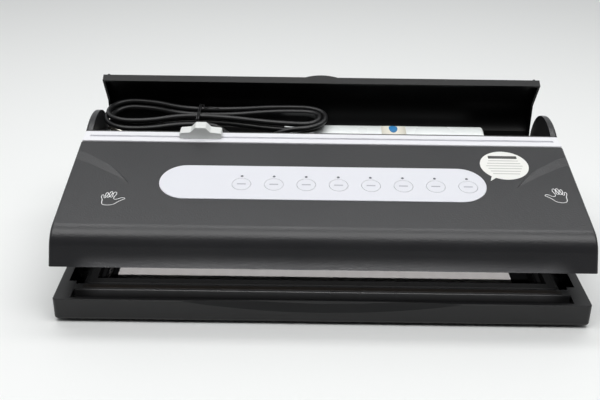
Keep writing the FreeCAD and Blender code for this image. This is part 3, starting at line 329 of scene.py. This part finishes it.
# Printed ink: matt, dark in the heading and pale in the bars below it.
heading_up, heading_length, heading_width = 10.6, 23.0, 3.6
bar_on_top("sticker_heading", bubble_x, bubble_s + heading_up, heading_length, heading_width, print_height,
           finish_of("dark sticker ink", "#4A4A48", 0.7), "lid")
bar_count, first_bar, bar_pitch, bar_width = 6, 6.0, 3.4, 0.9
longest_bar, longest_bar_length, bar_taper = 2, 29.0, 2.6
print_grey = finish_of("grey sticker ink", "#BDBDBA", 0.7)
for i in range(bar_count):
    bar_on_top("sticker_bar_%d" % (i + 1), bubble_x, bubble_s + first_bar - bar_pitch * i,
               longest_bar_length - abs(i - longest_bar) * bar_taper, bar_width, print_height, print_grey, "lid")

# Cutter: a white ABS rail let into the lid behind the panel, with a light grey slider that carries the blade.
# Both are plain mouldings with a soft gloss.
dress(finish_of("white rail plastic", "#EAEAEE", 0.32, grain=0.03, grain_mm=1.67), "cutter_rail")
dress(finish_of("pale grey slider plastic", "#DCDEDC", 0.4, grain=0.06, grain_mm=1.25), "cutter_slider")

# Mains cord: one black rubber flex that leaves the gland in the compartment's front wall, lies in a hank
# of three loops drawn in at the waist, and runs along the floor to the plug.
# Its sizes are in millimetres, and its places are those of the shut lid.
flex = 4.5
hank_middle = Vector((-105, 161, 95.4))
hank_turn = (Matrix.Rotation(math.radians(-3.0), 3, "Z") @ Matrix.Rotation(math.radians(0.6), 3, "Y")
             @ Matrix.Rotation(math.radians(17.0), 3, "X"))
loop_count, loop_stations, loop_pitch = 3, 8, 5.2
left_reach, left_half = 83.6, 21  # length and half width of the outer loop, left of the waist
right_reach, right_half = 110, 18
waist_half = 10
nose = 1.2  # half widths from a loop's tip to where it is widest
climb_turns = 0.25  # half of the stretch in which the middle loop climbs to the upper layer
arc_step = 3.0  # spacing of the points along the cord
gland_out = Vector((-74, 134.7, 76))
run_in = 7  # straight run into the first loop
leave, leave_aside = math.radians(8), 1.5  # how the cord turns out of the last loop
floor_spot = Vector((-91, 158.5, 53.05))
plug_lift, plug_rise = math.radians(20), 27  # slant of the plug, and the run in which the cord rises to it


def hank_station(turn, station):
    """Place and heading at one of eight points round a loop; the loops spiral in, climb a layer and spiral out."""
    t = turn + station / loop_stations
    inward = loop_pitch * min(t, loop_count - t)
    climb = max(-1, min(1, (t - loop_count / 2) / climb_turns)) * loop_pitch / 2
    near, far, waist = left_half - inward, right_half - inward, waist_half - inward
    left_end, right_end = left_reach - inward, right_reach - inward
    places = ((0, -waist, -1, 0), (nose * near - left_end, -near, -1, 0), (-left_end, 0, 0, 1),
              (nose * near - left_end, near, 1, 0), (0, waist, 1, 0), (right_end - nose * far, far, 1, 0),
              (right_end, 0, 0, -1), (right_end - nose * far, -far, -1, 0))
    along, across, go_along, go_across = places[station]
    spot = hank_middle + hank_turn @ Vector((along, across, climb))
    return spot, hank_turn @ Vector((go_along, go_across, 0))


def arc_points(start, heading, end):
    """Points after start along the arc that leaves it on a heading and reaches end."""
    run = end - start
    along = run.dot(heading)
    aside = run - heading * along
    count = max(1, round(run.length / arc_step))
    if aside.length < 1e-4:
        return [start + run * (i / count) for i in range(1, count + 1)]
    side_way = aside.normalized()
    bend = run.length_squared / (2 * run.dot(side_way))
    sweep = 2 * math.atan2(run.dot(side_way), along)
    return [start + heading * (bend * math.sin(sweep * i / count))
            + side_way * (bend * (1 - math.cos(sweep * i / count))) for i in range(1, count + 1)]


def two_arcs(start, start_way, end, end_way):
    """Points after start along two arcs that join it to end, each on its heading."""
    gap = end - start
    a = 2 * (1 - start_way.dot(end_way))
    b = 2 * gap.dot(start_way + end_way)
    c = -gap.length_squared
    reach = -c / b if abs(a) < 1e-6 else (math.sqrt(b * b - 4 * a * c) - b) / (2 * a)
    first = start + start_way * reach
    second = end - end_way * reach
    join = (first + second) / 2
    return arc_points(start, start_way, join) + arc_points(join, (second - first).normalized(), end)


plug_axis = Vector((-math.cos(plug_lift), 0, math.sin(plug_lift)))
relief = floor_spot + Vector((-plug_rise, 0, plug_rise * math.tan(plug_lift / 2)))
first_spot, first_way = hank_station(0, 0)
last_spot = Vector((right_reach - nose * right_half, -right_half - leave_aside, loop_pitch / 2))
last_way = Vector((-math.cos(leave), -math.sin(leave), 0))
stations = [(gland_out + Vector((0, flex, 0)), Vector((0, 1, 0))), (first_spot - first_way * run_in, first_way)]
stations += [hank_station(turn, station) for turn in range(loop_count) for station in range(loop_stations)][:-1]
stations += [(hank_middle + hank_turn @ last_spot, hank_turn @ last_way),
             (floor_spot, Vector((-1, 0, 0))), (relief, plug_axis)]
route = [gland_out, gland_out + Vector((0, flex / 2, 0)), stations[0][0]]
for (start, start_way), (end, end_way) in zip(stations, stations[1:]):
    route += two_arcs(start, start_way, end, end_way)
route += [relief + plug_axis * flex / 2, relief + plug_axis * flex]
route = [on_lid(*point) for point in route]
cord = tube("mains_cord", [route], flex / 2000, sides=5, detail=3)
# Extruded rubber: black, with a soft gloss along its back.
cord.data.materials.append(finish_of("black flex rubber", "#1A1A1B", 0.36, grain=0.04, grain_mm=0.667, drift=0.05))
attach(cord, "lid")
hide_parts("cord_hank")

# Twist tie: a plastic-coated wire wound twice round the waist of the hank, its two ends twisted together
# and bent to the right.
tie_turns, tie_steps = 2.15, 39
tie_run, tie_half_width, tie_half_height = 3.2, 12.9, 5.5
tie_squareness = 1.35
tie_wire_radius = 0.55


def squared(wave):
    """Wave with its tops cut off flat, so that a circle drawn with it becomes a rounded square."""
    return max(-1.0, min(1.0, tie_squareness * wave))


loop = []
for i in range(tie_steps + 1):
    angle = 2 * math.pi * tie_turns * i / tie_steps
    loop.append(hank_middle + hank_turn @ Vector((tie_run * (i / tie_steps - 0.5),
                                                  tie_half_width * squared(math.cos(angle)),
                                                  tie_half_height * squared(math.sin(angle)))))
twist = hank_middle + hank_turn @ Vector((4, 2, 6.6))
loop += [twist, twist + Vector((4, -1.5, 1.2)), twist + Vector((9, -2.5, 1.4)), twist + Vector((13, -2.2, 0.6))]
tie = tube("twist_tie_wire", [[on_lid(*point) for point in loop]], tie_wire_radius / 1000, sides=2, detail=12)
tie.data.materials.append(finish_of("coated tie wire", "#2A2A2B", 0.3))
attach(tie, "lid")
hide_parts("twist_tie")
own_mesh(tie)

# Plug, its pins and the gland: black moulded plastic with nickel-plated pins, lying on the compartment floor.
# The plug is moulded onto the cord's free end, and the gland is clamped in the compartment's front wall.
# They and the tie are all that is on the cord.
dress(finish_of("black moulded plug", "#1B1B1C", 0.4, grain=0.05, grain_mm=1.43, drift=0.04),
      "plug_body", "cord_gland")
dress(finish_of("nickel plated brass", "#C9C5BC", 0.22, Metallic=1.0), "plug_prongs")
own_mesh(cord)

# Bag roll: white embossed film wound on a core and lying loose in the compartment, with a cream paper sticker
# that has a blue dot.
roll_low, roll_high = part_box("bag_roll")
roll_axis = (roll_low + roll_high) / 2
roll_radius = (roll_high.y - roll_low.y) / 2
label_start = 1.2  # radii from the roll's axis at which a label starts, before it is wrapped on


def roll_label(name, x0, x1, start, end, gap, thick, material, rounded):
    """Thin label wrapped on the roll between two angles up from its front, oval where rounded."""
    bpy.ops.object.select_all(action="DESELECT")
    if rounded:
        bpy.ops.mesh.primitive_circle_add(vertices=32, radius=0.5, fill_type="TRIFAN")
        bpy.ops.object.mode_set(mode="EDIT")
        bpy.ops.mesh.subdivide(number_cuts=5)
        bpy.ops.object.mode_set(mode="OBJECT")
    else:
        bpy.ops.mesh.primitive_grid_add(x_subdivisions=2, y_subdivisions=28, size=1)
    made = bpy.context.object
    made.name = name
    middle = math.radians(start + end) / 2
    height = 2 * roll_radius * math.sin(math.radians(end - start) / 2)
    away = label_start * roll_radius
    made.matrix_world = (Matrix.Translation(((x0 + x1) / 2, roll_axis.y - away * math.cos(middle),
                                             roll_axis.z + away * math.sin(middle)))
                         @ Matrix.Rotation(math.pi / 2 - middle, 4, "X")
                         @ Matrix.Diagonal((x1 - x0, height, 1, 1)))
    bpy.ops.object.transform_apply(location=False, rotation=False, scale=True)
    bpy.ops.object.modifier_add(type="SHRINKWRAP")
    wrap = made.modifiers["Shrinkwrap"]
    wrap.target = nodes["bag_roll"]
    wrap.wrap_method = "PROJECT"
    wrap.use_project_z = True
    wrap.use_negative_direction = True
    wrap.offset = gap
    bpy.ops.object.modifier_apply(modifier="Shrinkwrap")
    bpy.ops.object.modifier_add(type="SOLIDIFY")
    made.modifiers["Solidify"].thickness = thick
    made.modifiers["Solidify"].offset = 1
    bpy.ops.object.modifier_apply(modifier="Solidify")
    bpy.ops.object.transform_apply(location=True, rotation=True, scale=True)
    bpy.ops.object.shade_smooth()
    made.data.materials.append(material)
    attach(made, "bag_roll")


# Embossed film: cool white, with a broken gloss from its small pockets.
dress(finish_of("white embossed film", "#E8ECEB", 0.3, grain=0.25, grain_mm=3.85, drift=0.06, Coat_Weight=0.3),
      "bag_roll")
roll_label("roll_sticker", 0.052, 0.073, 42, 106, gap=0.00005, thick=0.0001,
           material=finish_of("cream sticker paper", "#EFEBDD", 0.6), rounded=False)
roll_label("roll_sticker_dot", 0.0585, 0.066, 66, 104, gap=0.0002, thick=0.00008,
           material=finish_of("blue sticker ink", "#2B7FB8", 0.55), rounded=True)

# Compartment cover: an arched moulding of black ABS, hinged between the lid's two cheeks and standing open.
# Darker and a little duller than the lid.
dress(finish_of("black cover plastic", "#0A0A0B", 0.38, grain=0.06, grain_mm=0.833, drift=0.04,
                Specular_IOR_Level=0.35),
      "roll_cover")

# Stage: a pale matt table in a white room that is dim behind the camera, with a wide soft light above, a strip
# behind it, and a row of narrow spot lamps in front, aimed into the gap between lid and base.
gap_lamp_count, gap_lamp_pitch = 29, 0.012
gap_lamp_depth, gap_lamp_height = -0.764, 0.36
gap_lamp_lean, gap_lamp_cone = math.radians(64), math.radians(2.7)
gap_lamp_radius, gap_lamp_watts = 0.004, 15.5
bpy.ops.mesh.primitive_plane_add(size=8, location=(0, 1.5, 0))
table = bpy.context.object
table.name = "table"
table.data.materials.append(finish_of("pale table laminate", "#F1F2F1", 0.6))


def soft_light(place, lean, width, depth, watts):
    """Wide rectangular lamp above the table, leaning forward or back by an angle in degrees."""
    bpy.ops.object.light_add(type="AREA", location=place, rotation=(math.radians(lean), 0, 0))
    lamp = bpy.context.object
    lamp.data.shape = "RECTANGLE"
    lamp.data.size = width
    lamp.data.size_y = depth
    lamp.data.energy = watts
    return lamp


above = soft_light((0, -0.35, 1.3), lean=12, width=1.9, depth=0.7, watts=14)
behind = soft_light((0, 0.45, 1.25), lean=-20, width=1.5, depth=0.22, watts=5.2)
for i in range(gap_lamp_count):
    aside = gap_lamp_pitch * (i - (gap_lamp_count - 1) / 2)
    bpy.ops.object.light_add(type="SPOT", location=(aside, gap_lamp_depth, gap_lamp_height),
                             rotation=(gap_lamp_lean, 0, 0))
    lamp = bpy.context.object
    lamp.data.spot_size = gap_lamp_cone
    lamp.data.spot_blend = 1
    lamp.data.shadow_soft_size = gap_lamp_radius
    lamp.data.energy = gap_lamp_watts
room = bpy.data.worlds.new("white room")
bpy.context.scene.world = room
room.use_nodes = True
tree = room.node_tree
glow = tree.nodes["Background"]
glow.inputs["Color"].default_value = colour("#E6E8E9")
direction = add_node(tree, "ShaderNodeTexCoord")
split = add_node(tree, "ShaderNodeSeparateXYZ", [(direction, "Generated", "Vector")])
dim = add_node(tree, "ShaderNodeMapRange", [(split, "Y", "Value")],
               From_Min=-0.6, From_Max=0.5, To_Min=0.03, To_Max=0.75)
tree.links.new(dim.outputs["Result"], glow.inputs["Strength"])
seen = add_node(tree, "ShaderNodeBackground", Color=colour("#F0F1F0"), Strength=1.0)
ray = add_node(tree, "ShaderNodeLightPath")
mix = add_node(tree, "ShaderNodeMixShader",
               [(ray, "Is Camera Ray", "Fac"), (glow, "Background", 1), (seen, "Background", 2)])
tree.links.new(mix.outputs["Shader"], tree.nodes["World Output"].inputs["Surface"])
